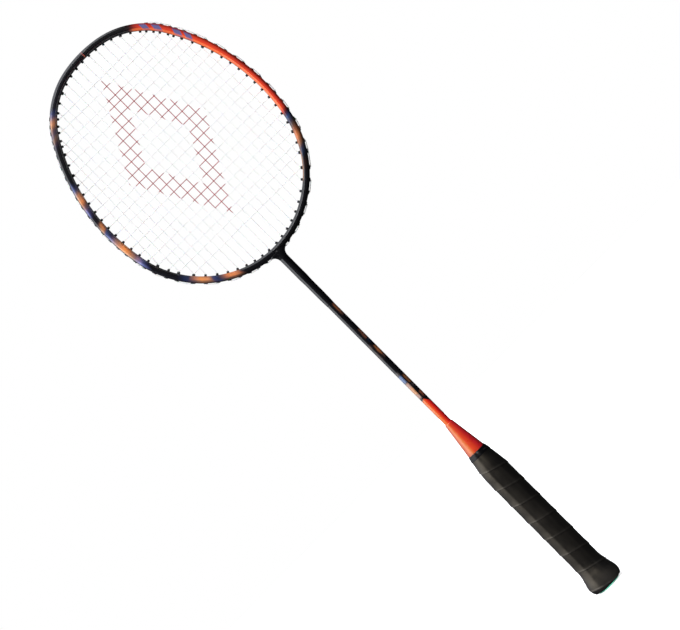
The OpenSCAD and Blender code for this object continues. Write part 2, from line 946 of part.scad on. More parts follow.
head_frame();
t_joint_insert();
shaft();
shaft_end_plug();
cone_cap();
handle_core();
butt_cap();
butt_badge();
butt_cap_staples();
grip_start_tack();
grip_adhesive_tape();
grip_wrap();
grip_finishing_tape();
main_string();
cross_string();
top_main_grommets();
tie_off_grommets();
top_shared_grommets();
left_side_grommets();
right_side_grommets();
throat_grommets();
neck_grommets();
throat_shared_grommets();
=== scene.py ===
# Badminton racket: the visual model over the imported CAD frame.
import math
import bpy
import bmesh
import numpy as np
from mathutils import Matrix, Vector


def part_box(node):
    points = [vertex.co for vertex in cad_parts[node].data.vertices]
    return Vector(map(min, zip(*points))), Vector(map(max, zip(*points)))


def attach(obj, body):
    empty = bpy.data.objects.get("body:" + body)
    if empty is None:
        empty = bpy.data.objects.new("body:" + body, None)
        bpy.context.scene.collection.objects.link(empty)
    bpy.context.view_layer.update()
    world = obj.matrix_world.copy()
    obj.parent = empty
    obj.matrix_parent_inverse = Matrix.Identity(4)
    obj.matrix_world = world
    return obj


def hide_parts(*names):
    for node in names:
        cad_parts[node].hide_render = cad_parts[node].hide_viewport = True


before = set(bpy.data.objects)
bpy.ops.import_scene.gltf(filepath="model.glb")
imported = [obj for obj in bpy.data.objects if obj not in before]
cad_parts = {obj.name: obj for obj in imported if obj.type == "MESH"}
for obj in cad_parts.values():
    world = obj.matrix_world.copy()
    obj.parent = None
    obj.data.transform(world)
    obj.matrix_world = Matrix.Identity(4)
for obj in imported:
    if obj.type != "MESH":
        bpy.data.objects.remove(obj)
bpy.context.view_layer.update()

MM = 0.001


def box(node):
    """Lower and upper corner of a CAD node's box, in millimetres."""
    return [[c / MM for c in corner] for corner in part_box(node)]


def cosd(a):
    return math.cos(math.radians(a))


def sind(a):
    return math.sin(math.radians(a))


def unit(x):
    return min(max(x, 0), 1)


def circle(count):
    """(cosine, sine) of evenly spaced angles round a full turn."""
    angles = [2 * math.pi * k / count for k in range(count)]
    return [(math.cos(a), math.sin(a)) for a in angles]


# ---------------------------------------------------------------- outline of the head, in millimetres
TOP = box("head_frame")[1][2]
HALF_FACE, HALF_DEPTH = 3.2, 5.2
BEVEL_FACE, BEVEL_DEPTH = 1.7, 2.2
GROOVE, GROOVE_WIDTH, GROOVE_FROM = 1.3, 4.6, 47.0
# tangent arcs of the right half, from the bottom to the top: angles where they meet, and radii
ANGLES = [-90, -64.2, -10.85, 31.1, 80, 90]
RADII = [91.9, 97.95, 186.2, 74.2]


def over_arcs(value):
    """Sum over the arcs of the radius times the change of a value of the angle."""
    return sum(r * (value(b) - value(a)) for r, a, b in zip(RADII, ANGLES, ANGLES[1:]))


# the last radius closes the outline on the middle line
RADII.append(over_arcs(cosd) / cosd(ANGLES[-2]))
ARCS = len(RADII)
HEAD_BOTTOM = TOP - HALF_FACE - over_arcs(sind)
HALF_RUN = over_arcs(math.radians)
CENTRES = [(0.0, HEAD_BOTTOM + RADII[0])]
for i in range(1, ARCS):
    step = RADII[i - 1] - RADII[i]
    CENTRES.append((CENTRES[-1][0] + step * cosd(ANGLES[i]), CENTRES[-1][1] + step * sind(ANGLES[i])))


def curve_point(angle, offset):
    """Point on the outline where it faces an angle, moved outward by the offset."""
    for i in range(ARCS):
        if ANGLES[i] - 1e-9 <= angle <= ANGLES[i + 1] + 1e-9:
            r = RADII[i] + offset
            return CENTRES[i][0] + r * cosd(angle), CENTRES[i][1] + r * sind(angle)


def angle_at_run(s):
    """Angle at a length along the outline from its lowest point."""
    left = s
    for i in range(ARCS):
        part = RADII[i] * math.radians(ANGLES[i + 1] - ANGLES[i])
        if left <= part or i == ARCS - 1:
            return min(ANGLES[i] + math.degrees(left / RADII[i]), ANGLES[i + 1])
        left -= part


def angle_at_x(x, side, offset):
    """Angle where the offset outline passes x, in its upper (side 1) or lower (side -1) half."""
    for i in range(ARCS):
        c = (x - CENTRES[i][0]) / (RADII[i] + offset)
        if abs(c) <= 1:
            a = side * math.degrees(math.acos(c))
            if ANGLES[i] <= a <= ANGLES[i + 1]:
                return a


def angle_at_z(z, offset):
    for i in range(ARCS):
        c = (z - CENTRES[i][1]) / (RADII[i] + offset)
        if abs(c) <= 1 and ANGLES[i] <= math.degrees(math.asin(c)) <= ANGLES[i + 1]:
            return math.degrees(math.asin(c))


# ---------------------------------------------------------------- holes and strings, as in the CAD
STUB, FLANGE, RECESSED = 2.0, 0.6, 0.35
MAIN_PITCH, CROSS_PITCH = 8.05, 9.22
MAINS, CROSSES = 11, 21
STRING_R = 0.35
MOUTH = -(HALF_FACE + STUB)
FIRST_CROSS, LAST_CROSS_DROP = 28.1, 1.3
MAIN_SLANT, SLANT_FADE = 24, 0.36
SPREAD = {1: 1.15, 2: 1.0, 3: 0.9}
# mains whose hole also holds a cross, at the top and at the throat, and the tie-off main
TOP_SHARED = {10: 4, 11: 6}
BOTTOM_SHARED = {9: 21, 10: 20, 11: 18}
TIE_OFF = 5


def hole(square, direction):
    """Hole where the outline faces the angle square, drilled along a direction."""
    x, z = curve_point(square, MOUTH)
    slant = cosd(direction - square)
    grooved = square > GROOVE_FROM
    return {
        "x": x, "z": z, "dir": direction, "grooved": grooved,
        "inner": STUB / slant,
        "outer": (STUB + 2 * HALF_FACE - (GROOVE if grooved else 0)) / slant,
        "rise": RECESSED if grooved else FLANGE,
    }


def cross_angle(j):
    z = TOP - FIRST_CROSS - (j - 1) * CROSS_PITCH - (LAST_CROSS_DROP if j == CROSSES else 0)
    return angle_at_z(z, MOUTH) - SPREAD.get(j, 0)


def main_angle(i, side):
    return angle_at_x((i - 0.5) * MAIN_PITCH, side, MOUTH)


def main_top(i):
    a = cross_angle(TOP_SHARED[i]) if i in TOP_SHARED else main_angle(i, 1) + SPREAD.get(i - 6, 0)
    return hole(a, a)


def main_bottom(i):
    a = main_angle(i, -1)
    if i in BOTTOM_SHARED:
        a = (a + cross_angle(BOTTOM_SHARED[i])) / 2
        return hole(a, a)
    return hole(a, a + MAIN_SLANT * SLANT_FADE ** (i - 1))


def cross_end(j):
    for table, ends in ((TOP_SHARED, main_top), (BOTTOM_SHARED, main_bottom)):
        for i, k in table.items():
            if k == j:
                return ends(i)
    return hole(cross_angle(j), cross_angle(j))


# ---------------------------------------------------------------- mesh helpers
def add_mesh(name, node, slot, material, verts, faces, attrs=None, weighted=True):
    """One visible piece, from points in millimetres, that stands for a CAD node."""
    mesh = bpy.data.meshes.new(name)
    mesh.from_pydata([tuple(v) for v in np.asarray(verts, float) * MM], [], faces)
    bm = bmesh.new()
    bm.from_mesh(mesh)
    bmesh.ops.recalc_face_normals(bm, faces=bm.faces)
    bm.to_mesh(mesh)
    bm.free()
    mesh.polygons.foreach_set("use_smooth", [True] * len(mesh.polygons))
    mesh.materials.append(material)
    for key, values in (attrs or {}).items():
        layer = mesh.attributes.new(key, "FLOAT", "POINT")
        layer.data.foreach_set("value", np.asarray(values, np.float32))
    obj = bpy.data.objects.new(name, mesh)
    bpy.context.scene.collection.objects.link(obj)
    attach(obj, "root")
    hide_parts(node)
    if weighted:
        obj.modifiers.new("weighted", "WEIGHTED_NORMAL").weight = 80
    return obj


def skin(rings, closed_path=False, caps=True, offset=0):
    """Verts and faces through rings of points, as quads."""
    rings = np.asarray(rings, float)
    n, k = rings.shape[:2]
    faces = []
    for i in range(n if closed_path else n - 1):
        a, b = offset + i * k, offset + (i + 1) % n * k
        faces += [(a + j, a + (j + 1) % k, b + (j + 1) % k, b + j) for j in range(k)]
    if caps and not closed_path:
        faces.append(tuple(offset + j for j in reversed(range(k))))
        faces.append(tuple(offset + (n - 1) * k + j for j in range(k)))
    return rings.reshape(-1, 3), faces


def lathe(profile, segments):
    """Surface round +Z from (radius, z) points; the profile is closed."""
    return skin([[(r * c, r * s, z) for r, z in profile] for c, s in circle(segments)], closed_path=True)


def bend(before, p, after, cut, most, steps):
    """Points of a rounded corner at p. It starts cut away from p, or at most a share of the side."""
    p0, p1 = (p + d * min(cut / np.linalg.norm(d), most) for d in (before - p, after - p))
    return [(1 - t) ** 2 * p0 + 2 * t * (1 - t) * p + t * t * p1 for t in np.linspace(0, 1, steps)]


def round_outline(points, cuts, steps=4):
    """Closed 2D outline with each corner rounded by its own cut length."""
    pts = [np.array(p, float) for p in points]
    out = []
    for i, (p, cut) in enumerate(zip(pts, cuts)):
        out += bend(pts[i - 1], p, pts[(i + 1) % len(pts)], cut, 0.45, steps) if cut > 0 else [p]
    return [tuple(p) for p in out]


def round_path(points, cut, steps):
    """Open 3D line with its corners rounded."""
    pts = [np.array(p, float) for p in points]
    out = [pts[0]]
    for k in range(1, len(pts) - 1):
        out += bend(pts[k - 1], pts[k], pts[k + 1], cut, 0.4, steps)
    return out + [pts[-1]]


def tube(path, radius, sides=8):
    """Round tube along a 3D path, with closed ends."""
    path = np.asarray(path, float)
    tangent = np.gradient(path, axis=0)
    tangent /= np.linalg.norm(tangent, axis=1)[:, None]
    side = np.array([0.0, 1.0, 0.0])
    rings = []
    for p, t in zip(path, tangent):
        side = side - t * side.dot(t)
        side /= np.linalg.norm(side)
        up = np.cross(t, side)
        rings.append([p + radius * (c * side + s * up) for c, s in circle(sides)])
    return skin(rings)


def merge(parts):
    verts, faces, base = [], [], 0
    for v, f in parts:
        verts.append(v)
        faces += [tuple(base + i for i in face) for face in f]
        base += len(v)
    return np.vstack(verts), faces


# ---------------------------------------------------------------- shader helpers
def srgb(text):
    """Linear colour from six hex digits."""
    out = []
    for k in (0, 2, 4):
        c = int(text[k:k + 2], 16) / 255
        out.append(c / 12.92 if c <= 0.04045 else ((c + 0.055) / 1.055) ** 2.4)
    return (*out, 1)


class Nodes:
    """Fills a node tree. A value is a number, an output of another node or a colour in hex digits."""

    def __init__(self, tree):
        self.tree = tree
        tree.nodes.clear()

    def put(self, socket, value):
        if isinstance(value, bpy.types.NodeSocket):
            self.tree.links.new(value, socket)
        else:
            socket.default_value = srgb(value) if isinstance(value, str) else value

    def make(self, kind, inputs, out=0, **settings):
        """Adds a node, sets it up, fills its inputs and gives one of its outputs."""
        n = self.tree.nodes.new("ShaderNode" + kind)
        for key, value in settings.items():
            setattr(n, key, value)
        for key, value in inputs.items():
            self.put(n.inputs[key], value)
        return n.outputs[out] if len(n.outputs) else None

    def calc(self, op, a, b=0.0, c=0.0):
        return self.make("Math", {0: a, 1: b, 2: c}, operation=op)

    def add(self, a, b):
        return self.calc("ADD", a, b)

    def mul(self, a, b):
        return self.calc("MULTIPLY", a, b)

    def size(self, a):
        return self.calc("ABSOLUTE", a)

    def ramp(self, value, a, b, x=0.0, y=1.0):
        """Goes smoothly from x to y while the value goes from a to b."""
        inputs = {0: value, 1: a, 2: b, 3: x, 4: y}
        return self.make("MapRange", inputs, interpolation_type="SMOOTHSTEP")

    def band(self, value, centre, half, edge):
        """1 inside centre plus or minus half, fading over edge."""
        away = self.size(self.calc("SUBTRACT", value, centre))
        return self.ramp(away, half + edge / 2, half - edge / 2)

    def mix(self, fac, a, b, blend="MIX"):
        return self.make("Mix", {0: fac, 6: a, 7: b}, 2, data_type="RGBA", blend_type=blend)


class Shade(Nodes):
    """One node material."""

    def __init__(self, name):
        self.mat = bpy.data.materials.new(name)
        self.mat.use_nodes = True
        super().__init__(self.mat.node_tree)
        self.coord = self.make("TexCoord", {}, "Object")

    def done(self, **values):
        """Ends the material with a Principled shader that has these inputs."""
        inputs = {key.replace("_", " "): value for key, value in values.items()}
        self.make("OutputMaterial", {0: self.make("BsdfPrincipled", inputs)})
        return self.mat

    def mm(self, axis):
        """Place along X, Y or Z (0, 1 or 2) in millimetres."""
        return self.mul(self.make("SeparateXYZ", {0: self.coord}, axis), 1 / MM)

    def attr(self, name):
        return self.make("Attribute", {}, "Fac", attribute_name=name)

    def vector(self, scale, turn=(0, 0, 0)):
        return self.make("Mapping", {0: self.coord, "Scale": scale, "Rotation": turn})

    def noise(self, scale, detail, vec=None, rough=0.5, distort=0.0):
        return self.make("TexNoise", {"Vector": vec or self.coord, "Scale": scale, "Detail": detail,
                                      "Roughness": rough, "Distortion": distort})

    def vary(self, scale, detail, x, y):
        """Noise that mostly fills the range from x to y."""
        return self.ramp(self.noise(scale, detail), 0.3, 0.7, x, y)

    def drift(self, scale, detail, vec=None):
        """Noise round zero."""
        return self.add(self.noise(scale, detail, vec), -0.5)

    def cells(self, scale, out="Distance"):
        return self.make("TexVoronoi", {"Vector": self.coord, "Scale": scale}, out)

    def wave(self, scale, vec, axis, distort, detail):
        return self.make("TexWave", {"Vector": vec, "Scale": scale, "Distortion": distort,
                                     "Detail": detail}, "Fac", bands_direction=axis)

    def dim(self, colour, level):
        return self.mix(1.0, colour, self.mix(level, "000000", "ffffff"), "MULTIPLY")

    def bump(self, height, depth_mm, strength, below=None):
        """Bump on top of the one below it, if any."""
        inputs = {"Strength": strength, "Distance": depth_mm * MM, "Height": height}
        if below is not None:
            inputs["Normal"] = below
        return self.make("Bump", inputs)

    def stops(self, value, table, span):
        """Colour bands from (place, colour) pairs, along a value that runs from 0 to span."""
        per_ramp = 28
        result = None
        for k in range(0, len(table), per_ramp):
            part = table[k:k + per_ramp + 1]
            n = self.tree.nodes.new("ShaderNodeValToRGB")
            self.put(n.inputs[0], self.calc("DIVIDE", value, span))
            elements = n.color_ramp.elements
            elements.remove(elements[0])
            elements[0].position = part[0][0] / span
            elements[0].color = srgb(part[0][1])
            for place, colour in part[1:]:
                elements.new(place / span).color = srgb(colour)
            if result is None:
                result = n.outputs[0]
            else:
                after = self.calc("GREATER_THAN", value, part[0][0])
                result = self.mix(after, result, n.outputs[0])
        return result


# ---------------------------------------------------------------- materials
def pairs(text):
    """(place, colour) pairs from place:colour words."""
    return [(float(place), colour) for place, colour in (word.split(":") for word in text.split())]


# paint by length along the outline from the neck: left side inner and outer half, and right side; the left
# outer half's tones are paler and lighter, partly the patches' own colour and partly painted highlight of
# the lit outer bevel
PAINT_RUN = 352
LEFT_INNER = pairs("""
    0:06050a 34:06050a 36.5:34222c 38.5:a4613f 42:d07c4e 48:d9804a 51.5:a8634f 54:6a4a4a 57:2a2a44
    60:26305a 63:3a3a62 65:8f6450 68:d5885c 74:e5904f 79:c67f63 82:8e5f56 85:27304e 89:1b2546
    93:131426 97:06050a 122:06050a 126:1a1a38 130:3b3f66 132:6a6086 135:86667a 138:7e5c5c 143:b0704a
    147:dd8044 151:e88a48 154:d07f55 157:b07458 160:8d6660 163:5c485c 166:2b2740 169:2a2e50
    172:3c4468 174:6a4a50 176:b46c44 179:bd7446 181:a06440 183:35262a 185:100d16 189:0f0d15
    192:241c34 195:343050 198:3f3450 201:5e4444 204:9a5a3c 208:cf7a48 212:b07250 215:80594c
    218:423a50 221:20203a 225:08070d 230:06050a 259:06050a 262:141020 265:2e2230 268:5a4238
    271:6a5044 274:403848 277:5a4044 279:8a5a42 283:a86a48 286:8c5f4e 288.5:4a3c50 291:242a4a
    294:181c38 297:0c0b14 352:06050a""")
LEFT_OUTER_AND_HIGHLIGHT = pairs("""
    0:06050a 34:06050a 38:503628 45:784c38 52:5a463e 58:28345a 62:443c58 66:745040 74:946444
    82:504048 88:20284a 96:0d0c15 120:0d0c15 125:30345c 129:5a6498 132:8886b4 136:86708c 140:9a7860
    144:c88c68 150:e49a60 155:d0906a 160:b08880 164:847898 168:5c6494 172:444e80 175:a87858
    178:b47c54 182:563a34 185:14101a 190:18141f 194:505892 198:7470a4 201:8e6a78 204:a47054
    208:d08a54 212:c48c68 216:947e84 220:586090 224:3a4070 228:141422 232:06050a 258:06050a
    263:40384c 268:8a6854 273:665868 279:b07c58 284:c48a64 288:86707c 292:384072 296:11111e
    352:06050a""")
RIGHT_BANDS = pairs("""
    0:06050a 78:0c0b12 82:20120f 86:2e1a18 91:140f12 95:161f33 99:28304a 102:443a48 104:7a5440
    108:a06240 112:c87446 116:b8683c 120:86503a 123.5:5c4438 126:3c3444 129:3a3c56 132:28406e
    134.5:3a2440 136.5:6a2020 139:c83a22 143:dc3c22 200:dc3e22 240:de3f22 293:cc3420 296.5:a42c20
    299.5:601a1a 302.5:2c0f14 306:110b10 310:06050a 352:06050a""")
# slanted blocks on the red side (place, half length), and shaft patches (height, half length, colour)
BLOCKS = [(248, 3.4), (258.5, 3.8), (277.5, 3.8), (288.8, 3.2)]
SHAFT_RIGHT = [
    (365, 1.6, "50382e"), (357, 2.0, "16202c"), (348.5, 5.5, "824e34"), (343, 1.6, "4a342c"),
    (317, 4.8, "6e4434"), (309, 2.4, "141c2e"), (299, 3.2, "8a5434"), (295, 3.4, "965834"),
    (290, 1.8, "503a34"), (260.5, 4.6, "7a4c2e"), (253, 1.4, "443a3a"), (241.5, 2.6, "8a4a34")]
SHAFT_LEFT = [
    (262, 4.0, "62759c"), (268, 1.6, "4c4644"), (253.5, 3.4, "ae8c7e"), (247, 4.2, "c88f66"),
    (241, 2.0, "a98476"), (303, 1.6, "3a2824"), (292, 5.0, "2c201e")]
# the cone cap: its radius at a height, and how fast it narrows
CONE_R, CONE_Z = 9.2, 170.2
CONE_SLOPE = (18.4 - 8.5) / 2 / (205.6 - CONE_Z)


def cone_radius(z):
    return CONE_R + CONE_SLOPE * (CONE_Z - z)


def frame_paint():
    """Black, with patches of orange and blue on the left side and of red on the right one."""
    m = Shade("frame_paint_gloss")
    # length along the ring from the neck (below 0 on the left), and place across it (inside below 0)
    s, u = m.attr("run"), m.attr("across")
    place = m.size(s)
    drift = m.drift(140, 3)
    along = m.add(place, m.mul(drift, 5.0))
    leaning = m.add(along, m.mul(u, 0.5))
    inner, outer = (m.stops(leaning, table, PAINT_RUN) for table in (LEFT_INNER, LEFT_OUTER_AND_HIGHLIGHT))
    # towards the outer side the paler table takes over: partly painted highlight on the lit outer bevel
    left = m.mix(m.ramp(m.add(u, m.mul(drift, 1.5)), -0.2, 1.6), inner, outer)
    # near-black outermost edge: partly the black of the paint, partly painted shade beside the grommet
    # flanges
    left = m.mix(m.ramp(u, 2.25, 2.7), left, "100f16")
    right = m.stops(m.add(along, m.mul(u, -0.8)), RIGHT_BANDS, PAINT_RUN)
    # painted light across the right side: outside the red, painted shade darkens the colours towards the
    # outer side; the red gets a lighter orange on its inner bevel as painted highlight and a darker red on
    # its outer bevel as painted shade
    red = m.mul(m.ramp(along, 136, 141), m.ramp(along, 303, 296))
    shade = m.mix(m.ramp(u, -1.2, 1.4), "ffffff", "a0a0a0")
    right = m.mix(m.calc("SUBTRACT", 1.0, red), right, shade, "MULTIPLY")
    right = m.mix(m.mul(m.ramp(u, -0.7, -1.8), red), right, "ec6c38")
    # painted highlight: a pale inner edge on the right side, near the neck
    pale = m.mul(m.band(along, 84, 14, 8), m.ramp(u, -1.9, -2.8, 0.0, 0.8))
    right = m.mix(pale, right, "b08468")
    # painted shade: a darker red on the outer side of the red, strongest on the lower part of the side
    outer_painted_shade = m.mul(m.ramp(u, -0.6, 1.2), m.ramp(along, 190, 235, 0.75, 0.35))
    right = m.mix(m.mul(outer_painted_shade, red), right, "90201a")
    blocks = 0.0
    for centre, half in BLOCKS:
        block = m.band(m.calc("SUBTRACT", place, u), centre, half, 0.8)
        blocks = m.calc("MAXIMUM", blocks, block)
    flat_front = m.ramp(m.mm(1), -4.7, -5.05, 0.35, 0.92)
    right = m.mix(m.mul(blocks, flat_front), right, "526092")
    colour = m.mix(m.calc("GREATER_THAN", s, 0.0), left, right)
    # slow cloudiness, and fine metallic flake in the coloured paint
    lively = m.ramp(m.make("RGBToBW", {0: colour}), 0.01, 0.12, 0.08, 1.0)
    colour = m.dim(colour, m.vary(60, 4, 0.86, 1.12))
    flake = m.mul(m.ramp(m.cells(2600), 0.0, 0.5, 0.05, 0.0), m.mul(lively, 0.6))
    colour = m.mix(flake, colour, m.cells(2600, "Color"), "ADD")
    # scuffs round the top of the head, on the outer edges
    where = m.mul(m.ramp(place, 315, 350), m.ramp(u, 2.2, 3.1))
    scuff = m.mul(m.ramp(m.noise(900, 5, rough=0.7), 0.66, 0.72), where)
    colour = m.mix(m.mul(scuff, 0.5), colour, "6d6d72")
    return m.done(
        Base_Color=colour, Roughness=m.add(m.vary(45, 4, 0.34, 0.46), m.mul(scuff, 0.3)),
        Specular_IOR_Level=0.2, Normal=m.bump(m.noise(650, 2), 0.008, 0.4),
        Coat_Weight=0.9, Coat_Roughness=0.05, Coat_Normal=m.bump(m.noise(260, 2), 0.012, 0.3))


def shaft_paint():
    """Orange to red below a pointed edge, black above it, with soft patches up both sides; the orange on the
    left is painted highlight and the darker red on the right is painted shade.
    """
    m = Shade("shaft_paint_gloss")
    x, z = m.mm(0), m.mm(2)
    off = m.add(x, 0.7)
    edge = m.calc("SUBTRACT", 236.9, m.calc("MAXIMUM", m.mul(off, 1.4), m.mul(off, -0.6)))
    # painted light: a lighter orange on the left as painted highlight and a darker red on the right as
    # painted shade
    orange = m.mix(m.ramp(x, -0.2, -1.6), "e23a1f", "d96d32")
    orange = m.mix(m.ramp(x, 0.3, 1.6), orange, "d41c1c")
    colour = m.mix(m.ramp(m.calc("SUBTRACT", z, edge), -0.5, 0.5), orange, "07060a")
    drift = m.drift(120, 4, m.vector((2.5, 2.5, 1)))
    height, across = m.add(z, m.mul(drift, 4.0)), m.add(x, m.mul(drift, 2.0))
    for marks, start, end in ((SHAFT_RIGHT, 0.1, 2.0), (SHAFT_LEFT, -0.1, -1.1)):
        side = m.ramp(across, start, end)
        for centre, half, tone in marks:
            fac = m.mul(m.mul(m.band(height, centre, half, 3.0), side), 0.9)
            colour = m.mix(fac, colour, tone)
    return m.done(
        Base_Color=m.dim(colour, m.vary(60, 3, 0.9, 1.1)), Roughness=m.vary(50, 4, 0.34, 0.46),
        Specular_IOR_Level=0.2, Normal=m.bump(m.noise(600, 2), 0.005, 0.3),
        Coat_Weight=0.9, Coat_Roughness=0.05)


def cone_material():
    m = Shade("cone_moulded_gloss")
    z = m.mm(2)
    # from -1 at the left edge of the cone to 1 at its right edge
    share = m.calc("DIVIDE", m.mm(0), m.calc("MULTIPLY_ADD", z, -CONE_SLOPE, cone_radius(0)))
    colour = m.mix(m.noise(35, 4), "cc361e", "d24020")
    # painted light across the cone: a lighter orange left of the middle as painted highlight, painted shade
    # at its far left edge and a darker red as painted shade on its right
    for start, end, tone in (-0.08, -0.42, "cc6a34"), (-0.6, -0.95, "b44c26"), (0.1, 0.6, "d2242a"):
        colour = m.mix(m.ramp(share, start, end), colour, tone)
    # darker red in patches over the lowest few millimetres of the cone, where it meets the tape
    darker_near_tape = m.mul(m.ramp(z, 174, CONE_Z), m.ramp(m.noise(300, 4), 0.35, 0.7))
    fine = m.bump(m.noise(1800, 3), 0.003, 0.4)
    return m.done(
        Base_Color=m.mix(m.mul(darker_near_tape, 0.45), colour, "6e1d12"), Roughness=m.vary(80, 5, 0.2, 0.36),
        Specular_IOR_Level=0.3, Normal=m.bump(m.noise(180, 2), 0.01, 0.3, fine),
        Coat_Weight=0.6, Coat_Roughness=0.1)


def grip_material():
    m = Shade("grip_strip_tacky")
    colour = m.mix(m.noise(60, 5, rough=0.6), "0a0a0b", "101011")
    worn = m.mul(m.ramp(m.noise(38, 4), 0.42, 0.68), m.ramp(m.mm(2), 150, 60, 0.25, 1.0))
    colour = m.mix(m.mul(worn, 0.4), colour, "262422")
    # the lapping edge of the strip is painted paler as a painted highlight, most of all on the left, where
    # the light falls
    edge = m.mul(m.band(m.attr("strip"), 0.045, 0.03, 0.03), m.ramp(m.mm(0), -3, -8, 0.15, 0.7))
    pores = m.bump(m.ramp(m.cells(620), 0.05, 0.22), 0.05, 0.45)
    grain = m.bump(m.cells(1500), 0.03, 0.6, pores)
    return m.done(
        Base_Color=m.mix(edge, colour, "46433f"), Roughness=m.vary(90, 4, 0.35, 0.47),
        Specular_IOR_Level=0.75, Specular_Tint="ffeed2",
        Normal=m.bump(m.noise(130, 4), 0.22, 0.5, grain))


def plastic(name, dark, light, rough, grain=1400, depth=0.01, coat=0.0, dust=0.0, shine=0.5):
    m = Shade(name)
    colour = m.mix(m.noise(90, 4), dark, light)
    if dust:
        specks = m.ramp(m.noise(420, 5, rough=0.7), 0.58, 0.75)
        colour = m.mix(m.mul(specks, dust), colour, "6a6a6c")
    return m.done(
        Base_Color=colour, Roughness=m.vary(220, 4, rough - 0.07, rough + 0.08),
        Specular_IOR_Level=shine, Normal=m.bump(m.noise(grain, 3), depth, 0.6),
        Coat_Weight=coat, Coat_Roughness=0.12)


def string_material():
    m = Shade("string_multifilament")
    tone = m.noise(220, 3)
    # one plain lozenge ring stencilled on the string bed
    x_share = m.calc("DIVIDE", m.size(m.add(m.mm(0), 4.0)), 48.0)
    z_share = m.calc("DIVIDE", m.size(m.add(m.mm(2), -560.0)), 84.0)
    reach = m.add(m.add(x_share, z_share), m.mul(m.drift(400, 3), 0.06))
    ring = m.band(reach, 0.78, 0.22, 0.03)
    inked = m.mul(ring, m.ramp(m.noise(900, 4), 0.2, 0.45, 0.82, 1.0))
    fray = m.wave(1500, m.vector((1, 1, 1), (0.5, 0.4, 0.3)), "Z", 2.0, 2.0)
    return m.done(
        Base_Color=m.mix(inked, m.mix(tone, "f6f6f7", "fefefe"), "a01826"),
        Roughness=m.add(m.ramp(tone, 0.3, 0.7, 0.3, 0.45), m.mul(ring, 0.15)),
        Subsurface_Weight=0.1, Subsurface_Scale=0.0004, Normal=m.bump(fray, 0.02, 0.5))


def wood_material():
    m = Shade("core_wood_grain")
    rings = m.wave(180, m.vector((1, 1, 0.06)), "X", 5.0, 3)
    fibres = m.noise(700, 4, m.vector((1, 1, 0.05)))
    colour = m.mix(rings, "c79f6b", "a87b48")
    return m.done(
        Base_Color=m.mix(m.mul(fibres, 0.5), colour, "8d6236"),
        Roughness=m.ramp(fibres, 0.3, 0.7, 0.55, 0.75), Normal=m.bump(fibres, 0.08, 0.6))


def metal_material(name, dark, light, rough, lines):
    m = Shade(name)
    brushed = m.noise(900, 3, m.vector(lines))
    return m.done(
        Base_Color=m.mix(brushed, dark, light), Metallic=1.0,
        Roughness=m.ramp(brushed, 0.3, 0.7, rough - 0.06, rough + 0.1), Normal=m.bump(brushed, 0.01, 0.5))


def foam_material():
    m = Shade("plug_foam_cells")
    cells = m.cells(2200)
    return m.done(
        Base_Color=m.mix(cells, "b9b09a", "ded6c2"), Roughness=m.vary(300, 3, 0.8, 0.95),
        Normal=m.bump(cells, 0.2, 0.8))


def paper_material():
    m = Shade("adhesive_tape_paper")
    fibre = m.noise(1200, 5, rough=0.7, distort=1.0)
    stains = m.mul(m.ramp(m.noise(60, 3), 0.5, 0.7), 0.3)
    return m.done(
        Base_Color=m.mix(stains, m.mix(fibre, "e4dcc6", "f2ecdc"), "cfc3a4"),
        Roughness=m.ramp(fibre, 0.3, 0.7, 0.7, 0.85), Normal=m.bump(fibre, 0.03, 0.6))


PAINT = frame_paint()
SHAFT_PAINT = shaft_paint()
CONE = cone_material()
GRIP = grip_material()
STRING = string_material()
GROMMET = plastic("grommet_nylon", "0b0b0d", "17171a", 0.42, dust=0.12)
TAPE = plastic("finishing_tape_vinyl", "060607", "0d0d0f", 0.26, grain=900, depth=0.015, shine=0.25)
BUTT = plastic("butt_cap_plastic", "14181b", "20262a", 0.5, dust=0.15)
BADGE = plastic("badge_gloss_plastic", "4fb094", "5cbca0", 0.3, coat=0.5)
WOOD = wood_material()
STEEL = metal_material("fastener_steel_wire", "9a9da2", "c6c8cc", 0.3, (1, 1, 8))
ALLOY = metal_material("insert_cast_alloy", "7d8085", "a4a7ab", 0.42, (1, 1, 1))
FOAM = foam_material()
PAPER = paper_material()


# ---------------------------------------------------------------- head frame and neck
RING_STEPS, NECK_SIDES = 528, 48
NECK_LOW = 356.0
# half width, half depth and squareness: over the lower end of the neck, then under the ring's middle line
NECK = [(0, 3.60, 3.60, 2.0), (0.25, 3.68, 3.68, 2.0), (4, 3.80, 3.80, 2.0), (11, 3.95, 3.95, 2.0),
        (28, 3.97, 3.97, 2.0), (34, 4.25, 4.25, 2.0)]
THROAT = [(15.5, 4.22, 4.28, 2.0), (9.6, 4.3, 4.6, 2.0), (7.4, 4.9, 4.85, 2.0), (5.9, 5.8, 5.0, 2.1),
          (4.9, 6.9, 5.1, 2.2), (4.2, 8.2, 5.14, 2.3), (3.6, 9.9, 5.15, 2.4), (2.6, 9.8, 5.15, 2.5),
          (1.4, 8.6, 5.12, 2.5), (0.6, 7.2, 4.7, 2.5), (0, 6.0, 3.6, 2.5)]


def frame_section(depth):
    """Closed outline of the tube, as (across, front to back): rounded bevels and the string groove."""
    x, y = HALF_FACE, HALF_DEPTH
    flat_x, flat_y = x - BEVEL_FACE, y - BEVEL_DEPTH
    outline = round_outline(
        [(x, -flat_y), (x, flat_y), (flat_x, y), (-flat_x, y),
         (-x, flat_y), (-x, -flat_y), (-flat_x, -y), (flat_x, -y)], [0.4] * 2 + [0.6] * 6)
    half, shoulder, bottom = GROOVE_WIDTH / 2, x - 0.08 * depth - 0.001, x - depth
    notch = [(x, -half - 0.14), (shoulder, -half), (bottom, -half + 0.3), (bottom, 0.0),
             (bottom, half - 0.3), (shoulder, half), (x, half + 0.14)]
    return outline[:4] + notch + outline[4:]


